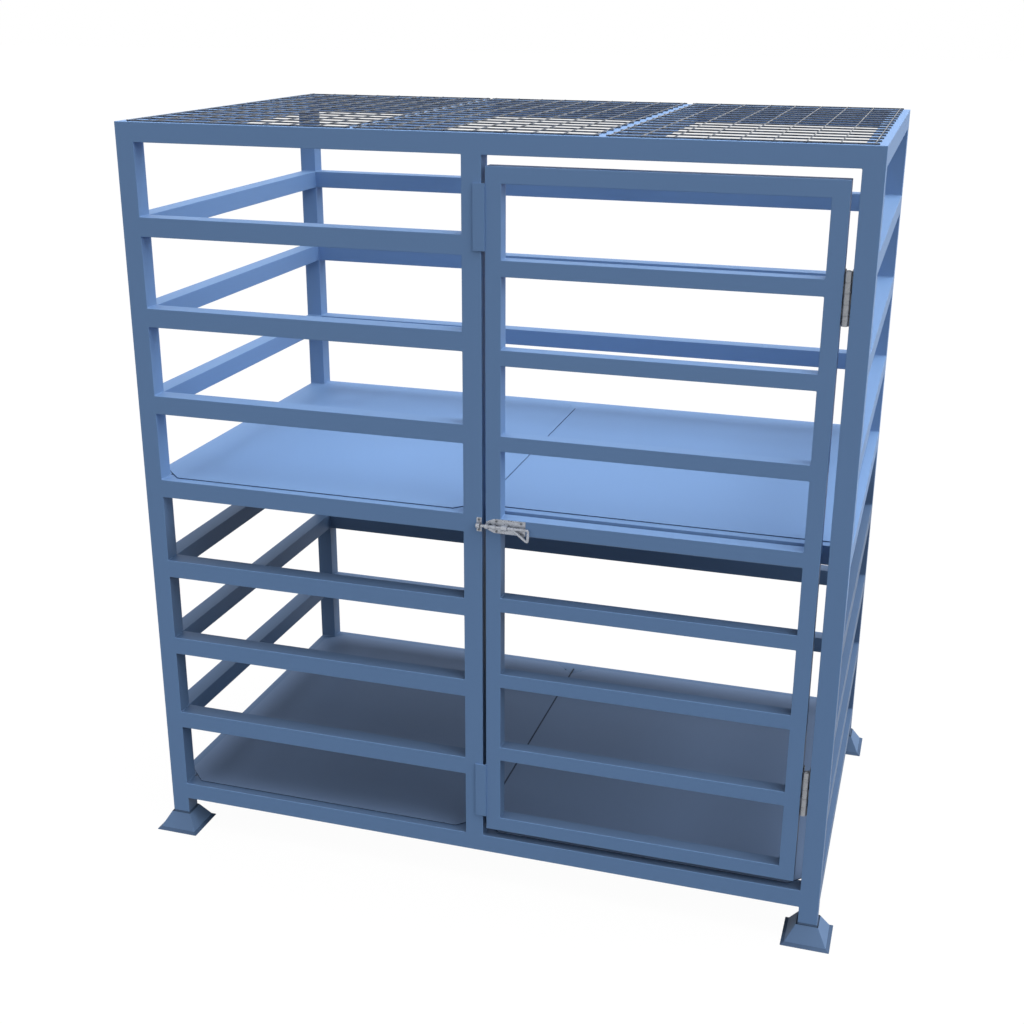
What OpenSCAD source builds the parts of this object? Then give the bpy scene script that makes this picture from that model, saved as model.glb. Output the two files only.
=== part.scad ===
// Storage cage for gas cylinders: a welded frame of square tube on four flared feet,
// with a floor, a middle shelf, a wire mesh roof and a barred door at the front right.
// Millimetres, +Z up, front towards -Y. The origin is on the ground under the middle.

/* [Frame] */
// Width over the corner posts
frame_w = 1900; // [1600:10:2300]
// Depth over the corner posts
frame_d = 1130; // [900:10:1400]
// Side of the square frame tube
tube = 50; // [45:1:60]
// Wall of the frame tube
tube_wall = 3; // [2:0.5:4]
// Height from the underside of the bottom rails to the top of the roof frame
frame_h = 1950; // [1800:10:2100]
// Number of spaces from the bottom rail to the top rail
bar_spaces = 8; // [7:1:9]
// Number of those spaces below the middle shelf
shelf_spaces = 4; // [3:1:5]
// Length of post left showing between bottom rail and foot
post_stub = 50; // [30:1:80]

/* [Feet] */
// Height of a foot
foot_h = 50; // [40:1:70]
// Width of a foot at the ground
foot_w = 128; // [118:1:150]
// Width of a foot where its flat skirt starts
foot_knee_w = 109; // [90:1:114]
// Height of that knee above the ground
foot_knee_h = 7; // [7:1:12]
// Ledge of the foot's top round the post
foot_ledge = 4; // [2:0.5:8]
// Thickness of the foot's pressed plate, measured straight down
foot_plate = 6; // [4:0.5:6.5]

/* [Shelves] */
// Thickness of the floor and shelf plates
plate_t = 3; // [2:0.5:6]
// Width of rail that a plate rests on
plate_bearing = 25; // [20:1:35]
// Gap between the two plates of a level
plate_seam = 5; // [2:0.5:10]
// Room between a post and a plate's cut corner, along the rails
corner_room = 10; // [6:1:20]

/* [Roof mesh] */
// Width of a mesh panel over the ends of its wires
mesh_w = 610; // [604:1:614]
// Gap between the left and the middle panel
mesh_gap_left = 8; // [2:0.5:12]
// Gap between the middle and the right panel
mesh_gap_right = 17; // [10:0.5:20]
// Distance from the frame's right side to the right panel
mesh_right_inset = 17.5; // [10:0.5:25]
// Distance from the frame's front and back to the mesh
mesh_end_inset = 5; // [2:0.5:15]
// Diameter of the wires that run left to right
cross_wire_d = 4; // [3.5:0.5:5]
// Diameter of the wires that run front to back
long_wire_d = 3; // [2.5:0.5:4]
// Depth that crossing wires are pressed into each other
wire_weld = 2.5; // [0.5:0.1:2.6]
// Wires in one panel that run left to right
mesh_cross_wires = 16; // [10:1:20]
// Wires in one panel that run front to back
mesh_long_wires = 9; // [6:1:12]
// Length of wire past the last crossing
wire_tail = 10; // [5:1:15]

/* [Door] */
// Side of the square door tube
door_tube = 40; // [35:1:45]
// Wall of the door tube
door_wall = 2; // [1.5:0.5:3]
// Gap between the door and the centre post
door_latch_gap = 10; // [8:0.5:14]
// Gap between the door and the top rail
door_top_gap = 25; // [10:1:40]
// Gap between the door and the bottom rail
door_bottom_gap = 25; // [10:1:40]
// Number of bars in the door
door_bar_count = 7; // [5:2:9]

/* [Door stops] */
// Height of a door stop
stop_h = 160; // [80:1:200]
// Thickness of a door stop
stop_t = 4; // [3:0.5:5]
// Width of centre post that a stop covers
stop_lap = 20; // [10:1:30]
// Depth of the stop's leg along the door's side
stop_leg = 32; // [20:1:35]

/* [Hinges] */
// Height of a hinge
hinge_h = 125; // [90:1:160]
// Distance from the door's end to the hinge
hinge_end = 200; // [100:5:300]
// Diameter of the knuckles
knuckle_d = 15.2; // [14:0.2:18]
// Number of knuckles in a hinge
knuckle_count = 5; // [5:2:7]
// Gap between one knuckle and the next
knuckle_gap = 0.5; // [0.3:0.1:1]
// Gap between a knuckle and the door's side
knuckle_door_gap = 2.4; // [1:0.1:3]
// Gap between a knuckle and the corner post
knuckle_post_gap = 2.4; // [1:0.1:4]
// Distance of the hinge axis behind the cage's front
hinge_set = 4; // [3:0.5:5]
// Thickness of the hinge leaves
leaf_t = 3; // [2:0.5:4]
// Distance from a leaf's edge to the door's back
leaf_edge = 2; // [1:0.5:8]
// Diameter of the hinge pin
pin_d = 8; // [6:0.5:9]
// Radial play of the pin in its knuckles
pin_play = 0.05; // [0.02:0.01:0.1]
// Diameter of the pin's head
pin_head_d = 11; // [10:0.5:13]
// Height of the pin's head
pin_head_h = 2.5; // [1.5:0.5:4]

/* [Latch] */
// Diameter of the bolt
bolt_d = 8; // [6:0.5:9]
// Travel of the bolt from the photographed place into the keeper
bolt_reach = 10; // [8:1:12]
// Travel of the bolt back from the photographed place, clear of the centre post
bolt_back = 14; // [13:1:18]
// Air between the keeper and the tip of the bolt in the photographed place
bolt_air = 0.4; // [0.3:0.1:0.8]
// Radial play of the bolt in its guides
bolt_play = 0.4; // [0.3:0.1:0.6]
// Distance from the door's front to the bolt's axis
bolt_stand = 10; // [9:0.5:12]
// Thickness of the latch plate and the keeper plate
latch_t = 2; // [1.5:0.5:3]
// Height of the latch plate and the keeper plate
latch_h = 38; // [34:1:40]
// Length of the latch plate
latch_len = 105; // [100:1:120]
// Length of the plate's tapered nose
latch_nose = 21; // [15:1:26]
// Height of the nose at its tip
latch_tip_h = 20; // [16:1:24]
// Distance from the door's edge to the latch plate
latch_inset = 2; // [1:0.5:6]
// Width of the ear under the plate's far end
ear_w = 16; // [12:1:18]
// Drop of that ear below the plate
ear_drop = 6; // [4:1:8]
// Distance from the plate's far end to the ear
ear_in = 2; // [1:0.5:4]
// Corner cut of the ear
ear_cut = 3; // [1:0.5:5]
// Wall of the guides round the bolt
guide_wall = 2.6; // [2:0.1:4]
// Length of the front guide
front_guide = 9; // [6:1:12]
// Length of the rear guide
rear_guide = 16; // [10:1:20]
// Diameter of the stop collar on the bolt
collar_d = 12; // [11:0.5:13.5]
// Length of the stop collar
collar_len = 8; // [5:1:10]
// Diameter of the bolt's neck that the collar turns on
neck_d = 6.5; // [5:0.5:7]
// Radial play of the collar on that neck
neck_play = 0.05; // [0.02:0.01:0.1]
// Play of the collar along that neck
neck_room = 0.4; // [0.3:0.1:1]
// Room between the collar and a guide
collar_room = 1; // [0.5:0.5:2]
// Diameter of the pull loop's rod
loop_d = 7; // [5:0.5:7]
// Length of the loop's top side
loop_w = 41.5; // [36:0.5:50]
// Drop of the loop below the bolt
loop_drop = 33; // [28:0.5:40]
// Lean of the loop's far side
loop_lean = 2.5; // [0:0.5:6]
// Diameter of the loop's rounded corners
loop_corner_d = 8; // [7.5:0.5:9]
// Bolt showing between the rear guide and the loop
loop_start = 14; // [8:1:20]
// Width of the keeper plate
keeper_w = 14; // [13:1:16]
// Length of the keeper's eye
keeper_eye = 10; // [8:1:12]
// Diameter of the screws
screw_d = 4; // [3:0.5:4.5]
// Diameter of the screw heads
screw_head_d = 7.5; // [7:0.5:8.5]
// Height of the screw heads
screw_head_h = 2; // [1.5:0.5:2.5]
// Length of the screws under the head
screw_len = 10; // [8:1:14]
// Distance between the upper and the lower screws
screw_rise = 28; // [24:1:30]
// Distance from the door's edge to the first screws
screw_in = 30; // [24:1:34]
// Distance from the plate's far end to the last screws
screw_out = 11; // [8:1:16]

/* [Hidden] */

// Facets of round parts
$fn = 48;
// Overshoot of cutting shapes
cut = 1;
// Air between the mesh and the rails that it is welded to
mesh_air = 0.1;
// Air between a door stop and the centre post
stop_air = 0.3;
// Play of a screw in its hole
screw_play = 0.1;
// Depth of the bolt's chamfered tip
tip_chamfer = 1.5;

// Paint and metal colours
PAINT = [0.36, 0.50, 0.70];
DOOR_PAINT = [0.34, 0.47, 0.66];
PLATE_PAINT = [0.45, 0.58, 0.78];
GALVANISED = [0.62, 0.64, 0.67];
ZINC = [0.70, 0.71, 0.73];

// Frame levels and faces
half_w = frame_w / 2;
half_d = frame_d / 2;
bearer_x = half_w / 3;
base_z = foot_h + post_stub;
row_pitch = (frame_h - tube) / bar_spaces;
top_rail_z = base_z + bar_spaces * row_pitch;
roof_z = top_rail_z + tube;
floor_z = base_z + tube;
shelf_rail_z = base_z + shelf_spaces * row_pitch;
shelf_z = shelf_rail_z + tube;
inner_w = frame_w - 2 * tube;
inner_d = frame_d - 2 * tube;
post_face = half_w - tube;
front_y = -half_d;

// Plates
plate_inset = tube - plate_bearing;
plate_cut = 2 * plate_bearing + corner_room;

// Roof mesh
mesh_right_x = half_w - mesh_right_inset - mesh_w;
mesh_middle_x = mesh_right_x - mesh_gap_right - mesh_w;
mesh_left_x = mesh_middle_x - mesh_gap_left - mesh_w;
mesh_d = frame_d - 2 * mesh_end_inset;
cross_wire_z = roof_z + mesh_air + cross_wire_d / 2;
long_wire_z = cross_wire_z + (cross_wire_d + long_wire_d) / 2 - wire_weld;

// Door
hinge_gap = knuckle_door_gap + knuckle_d + knuckle_post_gap;
door_x0 = tube / 2 + door_latch_gap;
door_x1 = post_face - hinge_gap;
door_z0 = floor_z + door_bottom_gap;
door_z1 = top_rail_z - door_top_gap;
door_w = door_x1 - door_x0;
door_h = door_z1 - door_z0;
door_bar_pitch = (door_h - door_tube) / (door_bar_count + 1);
latch_bar = (door_bar_count + 1) / 2;

// Hinges
hinge_x = door_x1 + knuckle_door_gap + knuckle_d / 2;
hinge_y = front_y + hinge_set;
leaf_front = hinge_y + knuckle_d / 2 + knuckle_door_gap;
leaf_back = front_y + door_tube - leaf_edge;
knuckle_pitch = (hinge_h + knuckle_gap) / knuckle_count;
knuckle_h = knuckle_pitch - knuckle_gap;
upper_hinge_z = door_z1 - hinge_end - hinge_h;
lower_hinge_z = door_z0 + hinge_end;

// Latch, from the centre post towards the pull loop
latch_z = door_z0 + latch_bar * door_bar_pitch + door_tube / 2;
bolt_y = front_y - bolt_stand;
bore_d = bolt_d + 2 * bolt_play;
guide_r = bore_d / 2 + guide_wall;
latch_x0 = door_x0 + latch_inset;
latch_x1 = latch_x0 + latch_len;
collar_x = latch_x0 + front_guide + collar_room + bolt_reach;
rear_guide_x = collar_x + collar_len + bolt_back + collar_room;
loop_x = rear_guide_x + rear_guide + loop_start;
loop_top = [loop_x + loop_w, 0];
loop_low = [loop_x + loop_w - loop_lean, -loop_drop];
loop_weld = [loop_x - loop_d / 2, 0];
keeper_x = tube / 2 - keeper_w;
keeper_eye_x = keeper_x + (keeper_w - keeper_eye) / 2;
bolt_tip_x = keeper_eye_x + keeper_eye + bolt_air;
plate_screws_x = [door_x0 + screw_in, latch_x1 - screw_out];
keeper_screw_x = tube / 2 - keeper_w / 2;
screw_levels = [latch_z - screw_rise / 2, latch_z + screw_rise / 2];

function row_z(row) = base_z + row * row_pitch;
function door_bar_z(row) = door_z0 + row * door_bar_pitch;

// Square tubes

module tube_x(length, side = tube, wall = tube_wall) {
    difference() {
        cube([length, side, side]);
        translate([-cut, wall, wall]) cube([length + 2 * cut, side - 2 * wall, side - 2 * wall]);
    }
}

module tube_y(length) {
    difference() {
        cube([tube, length, tube]);
        translate([tube_wall, -cut, tube_wall])
            cube([tube - 2 * tube_wall, length + 2 * cut, tube - 2 * tube_wall]);
    }
}

module tube_z(length) {
    difference() {
        cube([tube, tube, length]);
        translate([tube_wall, tube_wall, -cut])
            cube([tube - 2 * tube_wall, tube - 2 * tube_wall, length + 2 * cut]);
    }
}

// Tube along X with its outer side at Y = 0 and both ends mitred towards +Y
module mitred_tube(length, side, wall) {
    difference() {
        linear_extrude(side)
            polygon([[0, 0], [length, 0], [length - side, side], [side, side]]);
        translate([-cut, wall, wall]) cube([length + 2 * cut, side - 2 * wall, side - 2 * wall]);
    }
}

// Places a mitred tube as one side of the roof frame
module roof_side(x, y, turn, length) {
    color(PAINT) translate([x, y, top_rail_z]) rotate([0, 0, turn])
        mitred_tube(length, tube, tube_wall);
}

// Places a mitred tube as one side of the door frame
module door_side(x, z, turn, length) {
    translate([x, front_y + door_tube, z]) rotate([90, 0, 0]) rotate([0, 0, turn])
        mitred_tube(length, door_tube, door_wall);
}

// Frame

module post(x, y) {
    color(PAINT) translate([x, y, foot_h]) tube_z(top_rail_z - foot_h);
}

module centre_post() {
    color(PAINT) difference() {
        translate([-tube / 2, front_y, floor_z]) tube_z(top_rail_z - floor_z);
        screw_holes([keeper_screw_x], tube_wall);
    }
}

module front_rail(z) {
    color(PAINT) translate([-half_w + tube, front_y, z]) tube_x(inner_w);
}

module back_rail(z) {
    color(PAINT) translate([-half_w + tube, half_d - tube, z]) tube_x(inner_w);
}

module side_rail(x, z) {
    color(PAINT) translate([x, front_y + tube, z]) tube_y(inner_d);
}

module front_bar(row) {
    color(PAINT) translate([-half_w + tube, front_y, row_z(row)]) tube_x(post_face - tube / 2);
}

module back_bars() {
    for (row = [1 : bar_spaces - 1]) back_rail(row_z(row));
}

module side_bars(x) {
    for (row = [1 : bar_spaces - 1]) side_rail(x, row_z(row));
}

module roof_bearer(x) {
    side_rail(x - tube / 2, top_rail_z);
}

module shelf_front_rail() {
    color(PAINT) translate([tube / 2, front_y + tube, shelf_rail_z]) tube_x(post_face - tube / 2);
}

module centre_bearer(z) {
    side_rail(-tube / 2, z);
}

// Feet

// Outline of a foot from the side, let down by the given amount
function foot_outline(drop) = [[-foot_w / 2, -drop], [foot_w / 2, -drop],
    [foot_knee_w / 2, foot_knee_h - drop], [tube / 2 + foot_ledge, foot_h - drop],
    [-tube / 2 - foot_ledge, foot_h - drop], [-foot_knee_w / 2, foot_knee_h - drop]];

module foot_block(drop) {
    intersection() {
        rotate([90, 0, 0]) linear_extrude(foot_w, center = true) polygon(foot_outline(drop));
        rotate([90, 0, 90]) linear_extrude(foot_w, center = true) polygon(foot_outline(drop));
    }
}

module foot(side, end) {
    color(PAINT) translate([side * (half_w - tube / 2), end * (half_d - tube / 2), 0])
        difference() {
            foot_block(0);
            foot_block(foot_plate);
        }
}

// Floor and shelf

// Plate with its low corner at the origin, its back corners and, where asked, its front ones cut
module plate(width, depth, front_cut) {
    color(PLATE_PAINT) linear_extrude(plate_t)
        polygon([[front_cut, 0], [width - front_cut, 0], [width, front_cut],
            [width, depth - plate_cut], [width - plate_cut, depth],
            [plate_cut, depth], [0, depth - plate_cut], [0, front_cut]]);
}

module level_plate(x, z, set_back, front_cut) {
    translate([x, front_y + plate_inset + set_back, z])
        plate(half_w - plate_inset - plate_seam / 2, frame_d - 2 * plate_inset - set_back,
            front_cut);
}

module left_plate(z) {
    level_plate(-half_w + plate_inset, z, 0, plate_cut);
}

module right_plate(z, set_back, front_cut) {
    level_plate(plate_seam / 2, z, set_back, front_cut);
}

// Roof mesh

module mesh_panel(x) {
    long_pitch = (mesh_w - 2 * wire_tail) / (mesh_long_wires - 1);
    cross_pitch = (mesh_d - 2 * wire_tail) / (mesh_cross_wires - 1);
    color(GALVANISED) translate([x, front_y + mesh_end_inset, 0]) {
        for (i = [0 : mesh_cross_wires - 1])
            translate([0, wire_tail + i * cross_pitch, cross_wire_z]) rotate([0, 90, 0])
                cylinder(d = cross_wire_d, h = mesh_w);
        for (i = [0 : mesh_long_wires - 1])
            translate([wire_tail + i * long_pitch, 0, long_wire_z]) rotate([-90, 0, 0])
                cylinder(d = long_wire_d, h = mesh_d);
    }
}

// Door

module door_hinge_stile() {
    color(DOOR_PAINT) door_side(door_x1, door_z0, 90, door_h);
}

module door_latch_stile() {
    color(DOOR_PAINT) difference() {
        door_side(door_x0, door_z1, 270, door_h);
        screw_holes([plate_screws_x[0]], door_wall);
    }
}

module door_top_rail() {
    color(DOOR_PAINT) door_side(door_x1, door_z1, 180, door_w);
}

module door_bottom_rail() {
    color(DOOR_PAINT) door_side(door_x0, door_z0, 0, door_w);
}

module door_bars() {
    color(DOOR_PAINT) difference() {
        for (row = [1 : door_bar_count])
            translate([door_x0 + door_tube, front_y, door_bar_z(row)])
                tube_x(door_w - 2 * door_tube, door_tube, door_wall);
        screw_holes([plate_screws_x[1]], door_wall);
    }
}

// Angle welded to the door's side, with its front leg lapping the centre post
module door_stop(z) {
    outer = door_latch_gap + stop_lap;
    color(DOOR_PAINT) translate([door_x0, front_y - stop_air, z]) linear_extrude(stop_h)
        polygon([[-outer, 0], [-outer, -stop_t], [0, -stop_t], [0, stop_leg],
            [-stop_t, stop_leg], [-stop_t, 0]]);
}

// Hinges

module knuckle_bore(z) {
    translate([hinge_x, hinge_y, z - cut]) cylinder(d = pin_d + 2 * pin_play, h = hinge_h + 2 * cut);
}

// Barrel pieces from the given knuckle on, every second one, each with its finger to the leaf
module knuckles(z, first, finger_x, finger_w) {
    for (i = [first : 2 : knuckle_count - 1])
        translate([0, 0, z + i * knuckle_pitch]) {
            translate([hinge_x, hinge_y, 0]) cylinder(d = knuckle_d, h = knuckle_h);
            translate([finger_x, hinge_y, 0]) cube([finger_w, leaf_front - hinge_y, knuckle_h]);
        }
}

module hinge_frame_leaf(z) {
    color(ZINC) difference() {
        union() {
            knuckles(z, 0, hinge_x, post_face - hinge_x);
            translate([post_face - leaf_t, leaf_front, z])
                cube([leaf_t, leaf_back - leaf_front, hinge_h]);
        }
        knuckle_bore(z);
    }
}

module hinge_door_leaf(z) {
    color(ZINC) difference() {
        union() {
            knuckles(z, 1, door_x1, hinge_x - door_x1);
            translate([door_x1, leaf_front, z]) cube([leaf_t, leaf_back - leaf_front, hinge_h]);
        }
        knuckle_bore(z);
    }
}

module hinge_pin(z) {
    color(ZINC) translate([hinge_x, hinge_y, z]) {
        cylinder(d = pin_d, h = hinge_h + pin_head_h / 2);
        translate([0, 0, hinge_h]) cylinder(d = pin_head_d, h = pin_head_h);
    }
}

// Latch

// Holes for the upper and lower screws at each given X, through the wall behind the front
module screw_holes(places, wall) {
    for (x = places, z = screw_levels)
        translate([x, front_y - latch_t - cut, z]) rotate([-90, 0, 0])
            cylinder(d = screw_d + 2 * screw_play, h = latch_t + wall + 2 * cut);
}

module screws(places) {
    color(ZINC) for (x = places, z = screw_levels)
        translate([x, front_y - latch_t - screw_head_h, z]) rotate([-90, 0, 0]) {
            cylinder(d1 = screw_head_d - screw_head_h, d2 = screw_head_d, h = screw_head_h);
            cylinder(d = screw_d, h = screw_head_h + screw_len);
        }
}

// Round-fronted eye for the bolt, standing on the plate
module bolt_eye(x, length) {
    difference() {
        union() {
            translate([x, bolt_y, latch_z]) rotate([0, 90, 0]) cylinder(r = guide_r, h = length);
            translate([x, bolt_y, latch_z - guide_r])
                cube([length, bolt_stand - latch_t / 2, 2 * guide_r]);
        }
        translate([x - cut, bolt_y, latch_z]) rotate([0, 90, 0])
            cylinder(d = bore_d, h = length + 2 * cut);
    }
}

// Outline of the latch plate, with its nose at the origin and its ear below the far end
function latch_outline() = let(low = -latch_h / 2, ear_x = latch_len - ear_in)
    [[0, -latch_tip_h / 2], [latch_nose, low], [ear_x - ear_w, low],
    [ear_x - ear_w + ear_cut, low - ear_drop], [ear_x - ear_cut, low - ear_drop],
    [ear_x, low], [latch_len, low], [latch_len, -low], [latch_nose, -low],
    [0, latch_tip_h / 2]];

module latch_plate() {
    color(ZINC) difference() {
        union() {
            translate([latch_x0, front_y, latch_z]) rotate([90, 0, 0]) linear_extrude(latch_t)
                polygon(latch_outline());
            bolt_eye(latch_x0, front_guide);
            bolt_eye(rear_guide_x, rear_guide);
        }
        screw_holes(plate_screws_x, door_wall);
    }
}

module latch_keeper() {
    color(ZINC) difference() {
        union() {
            translate([keeper_x, front_y - latch_t, latch_z - latch_h / 2])
                cube([keeper_w, latch_t, latch_h]);
            bolt_eye(keeper_eye_x, keeper_eye);
        }
        screw_holes([keeper_screw_x], tube_wall);
    }
}

module latch_collar() {
    color(ZINC) translate([collar_x, bolt_y, latch_z]) rotate([0, 90, 0])
        difference() {
            cylinder(d = collar_d, h = collar_len);
            translate([0, 0, -cut])
                cylinder(d = neck_d + 2 * neck_play, h = collar_len + 2 * cut);
        }
}

// Round rod between two points of the pull loop's plane
module loop_side(from, to) {
    run = to - from;
    translate([from[0], 0, from[1]]) rotate([0, atan2(run[0], run[1]), 0])
        cylinder(d = loop_d, h = norm(run));
}

module pull_loop() {
    loop_side([loop_x, 0], loop_top);
    loop_side(loop_top, loop_low);
    loop_side(loop_low, loop_weld);
    for (corner = [loop_top, loop_low])
        translate([corner[0], 0, corner[1]]) sphere(d = loop_corner_d);
}

module latch_bolt() {
    neck_x = collar_x - neck_room;
    neck_len = collar_len + 2 * neck_room;
    front_len = neck_x - bolt_tip_x;
    color(ZINC) translate([0, bolt_y, latch_z]) {
        translate([bolt_tip_x, 0, 0]) rotate([0, 90, 0]) {
            cylinder(d1 = bolt_d - 2 * tip_chamfer, d2 = bolt_d, h = tip_chamfer);
            translate([0, 0, tip_chamfer]) cylinder(d = bolt_d, h = front_len - tip_chamfer);
            translate([0, 0, front_len]) cylinder(d = neck_d, h = neck_len);
            translate([0, 0, front_len + neck_len])
                cylinder(d = bolt_d, h = loop_x - neck_x - neck_len);
        }
        pull_loop();
    }
}

post(-half_w, front_y);  // post_front_left
post(post_face, front_y);  // post_front_right
post(-half_w, half_d - tube);  // post_back_left
post(post_face, half_d - tube);  // post_back_right
centre_post();
roof_side(-half_w, front_y, 0, frame_w);  // top_rail_front
roof_side(half_w, half_d, 180, frame_w);  // top_rail_back
roof_side(-half_w, half_d, 270, frame_d);  // top_rail_left
roof_side(half_w, front_y, 90, frame_d);  // top_rail_right
front_rail(base_z);  // bottom_rail_front
back_rail(base_z);  // bottom_rail_back
side_rail(-half_w, base_z);  // bottom_rail_left
side_rail(post_face, base_z);  // bottom_rail_right
roof_bearer(-bearer_x);  // roof_bearer_left
roof_bearer(bearer_x);  // roof_bearer_right
front_bar(1);  // front_bar_1
front_bar(2);  // front_bar_2
front_bar(3);  // front_bar_3
front_bar(4);  // front_bar_4
front_bar(5);  // front_bar_5
front_bar(6);  // front_bar_6
front_bar(7);  // front_bar_7
back_bars();
side_bars(-half_w);  // left_bars
side_bars(post_face);  // right_bars
shelf_front_rail();
centre_bearer(shelf_rail_z);  // shelf_bearer
centre_bearer(base_z);  // floor_bearer
left_plate(shelf_z);  // shelf_plate_left
right_plate(shelf_z, tube, 0);  // shelf_plate_right
left_plate(floor_z);  // floor_plate_left
right_plate(floor_z, 0, plate_cut);  // floor_plate_right
mesh_panel(mesh_left_x);  // mesh_left
mesh_panel(mesh_middle_x);  // mesh_middle
mesh_panel(mesh_right_x);  // mesh_right
foot(-1, -1);  // foot_front_left
foot(1, -1);  // foot_front_right
foot(-1, 1);  // foot_back_left
foot(1, 1);  // foot_back_right
door_hinge_stile();
door_latch_stile();
door_top_rail();
door_bottom_rail();
door_bars();
door_stop(door_z1 - door_tube - stop_h);  // door_stop_upper
door_stop(door_z0 + door_tube);  // door_stop_lower
hinge_frame_leaf(upper_hinge_z);  // hinge_upper_frame_leaf
hinge_door_leaf(upper_hinge_z);  // hinge_upper_door_leaf
hinge_pin(upper_hinge_z);  // hinge_upper_pin
hinge_frame_leaf(lower_hinge_z);  // hinge_lower_frame_leaf
hinge_door_leaf(lower_hinge_z);  // hinge_lower_door_leaf
hinge_pin(lower_hinge_z);  // hinge_lower_pin
latch_plate();
latch_collar();
latch_bolt();
latch_keeper();
screws(plate_screws_x);  // latch_screws
screws([keeper_screw_x]);  // keeper_screws
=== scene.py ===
"""Gas cylinder storage cage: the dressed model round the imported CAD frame.

Metres, +Z up, front towards -Y, origin on the ground under the middle of the cage.
"""

import math

import bmesh
import bpy
from mathutils import Matrix, Vector


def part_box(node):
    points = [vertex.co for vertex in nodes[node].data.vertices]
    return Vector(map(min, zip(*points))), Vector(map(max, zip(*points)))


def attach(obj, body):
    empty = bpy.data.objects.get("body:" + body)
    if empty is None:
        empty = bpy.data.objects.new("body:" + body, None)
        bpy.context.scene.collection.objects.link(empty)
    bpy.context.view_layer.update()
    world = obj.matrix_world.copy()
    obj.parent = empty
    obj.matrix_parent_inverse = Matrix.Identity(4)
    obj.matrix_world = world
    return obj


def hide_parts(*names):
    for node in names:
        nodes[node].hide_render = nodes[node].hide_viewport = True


MM = 0.001
X, Y, Z = range(3)
CORNERS = ("front_left", "front_right", "back_left", "back_right")
SIDES = ("front", "back", "left", "right")

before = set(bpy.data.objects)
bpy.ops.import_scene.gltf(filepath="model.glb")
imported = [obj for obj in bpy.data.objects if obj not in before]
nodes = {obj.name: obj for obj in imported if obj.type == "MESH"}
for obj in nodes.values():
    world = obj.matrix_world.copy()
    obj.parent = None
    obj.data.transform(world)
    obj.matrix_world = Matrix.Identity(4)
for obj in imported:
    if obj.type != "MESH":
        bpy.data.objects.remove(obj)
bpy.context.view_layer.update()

# Camera, solved from the edges of the photographed posts and bars: angles in degrees, lens in mm

CAMERA_PLACE = (1.1023, -3.8135, 2.3469)
CAMERA_TURN = 17.055
CAMERA_DIP = 19.887
CAMERA_ROLL = 0.2506
CAMERA_LENS = 49.974
SENSOR_WIDTH = 36.0


def set_camera():
    data = bpy.data.cameras.new("cage_camera")
    data.lens = CAMERA_LENS
    data.sensor_width = SENSOR_WIDTH
    data.clip_start = 0.05
    data.clip_end = 200.0
    camera = bpy.data.objects.new("cage_camera", data)
    bpy.context.scene.collection.objects.link(camera)
    turn = (
        Matrix.Rotation(math.radians(CAMERA_TURN), 4, "Z")
        @ Matrix.Rotation(math.radians(90 - CAMERA_DIP), 4, "X")
        @ Matrix.Rotation(math.radians(CAMERA_ROLL), 4, "Z")
    )
    camera.matrix_world = Matrix.Translation(CAMERA_PLACE) @ turn
    bpy.context.scene.camera = camera


# Shader helpers

GREY = (0.5, 0.5, 0.5, 1.0)
WHITE = (1.0, 1.0, 1.0, 1.0)


def add_node(tree, kind, place, **settings):
    """A new shader node at the given place, with its properties and named inputs set."""
    node = tree.nodes.new(kind)
    node.location = place
    for key, value in settings.items():
        if hasattr(node, key):
            setattr(node, key, value)
        else:
            node.inputs[key.replace("_", " ")].default_value = value
    return node


def link(tree, source, target):
    tree.links.new(source, target)


def calculate(tree, operation, place, *values):
    """The result of a math node on one or two values, each a socket or a plain number."""
    node = add_node(tree, "ShaderNodeMath", place, operation=operation)
    for i, value in enumerate(values):
        if isinstance(value, float):
            node.inputs[i].default_value = value
        else:
            link(tree, value, node.inputs[i])
    return node.outputs[0]


def ramp(tree, place, value, levels, shape="SMOOTHSTEP"):
    """Nought up to the first level, one past the second; the first may be the higher."""
    node = add_node(tree, "ShaderNodeMapRange", place, interpolation_type=shape)
    node.inputs["From Min"].default_value, node.inputs["From Max"].default_value = levels
    link(tree, value, node.inputs["Value"])
    return node.outputs[0]


def scale_colour(tree, place, colour, factor):
    """A colour times a factor that varies over the surface."""
    node = add_node(tree, "ShaderNodeVectorMath", place, operation="SCALE")
    link(tree, colour, node.inputs[0])
    link(tree, factor, node.inputs["Scale"])
    return node.outputs[0]


def split_place(tree, kind):
    """The X, Y and Z of a point on an object, or of a direction in the world."""
    place = add_node(tree, "ShaderNodeTexCoord", (-1900, 0))
    split = add_node(tree, "ShaderNodeSeparateXYZ", (-1700, 0))
    link(tree, place.outputs[kind], split.inputs[0])
    return [split.outputs[axis] for axis in "XYZ"]


def add_noise(tree, place, point, scale, detail):
    """The grey value of a noise texture at the point."""
    texture = add_node(tree, "ShaderNodeTexNoise", place, Scale=scale, Detail=detail)
    link(tree, point, texture.inputs["Vector"])
    return texture.outputs["Fac"]


def start_group(name, inputs, outputs):
    """A node group with float or colour sockets, given as {name: default} and {name: kind}."""
    group = bpy.data.node_groups.new(name, "ShaderNodeTree")
    for label, value in inputs.items():
        kind = "NodeSocketFloat" if isinstance(value, float) else "NodeSocketColor"
        socket = group.interface.new_socket(name=label, in_out="INPUT", socket_type=kind)
        socket.default_value = value
    for label, kind in outputs.items():
        group.interface.new_socket(name=label, in_out="OUTPUT", socket_type=kind)
    start = add_node(group, "NodeGroupInput", (-900, 0))
    end = add_node(group, "NodeGroupOutput", (900, 0))
    return group, start, end


# Finish groups: powder coat and zinc plating, with texture scales in repeats per metre

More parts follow.
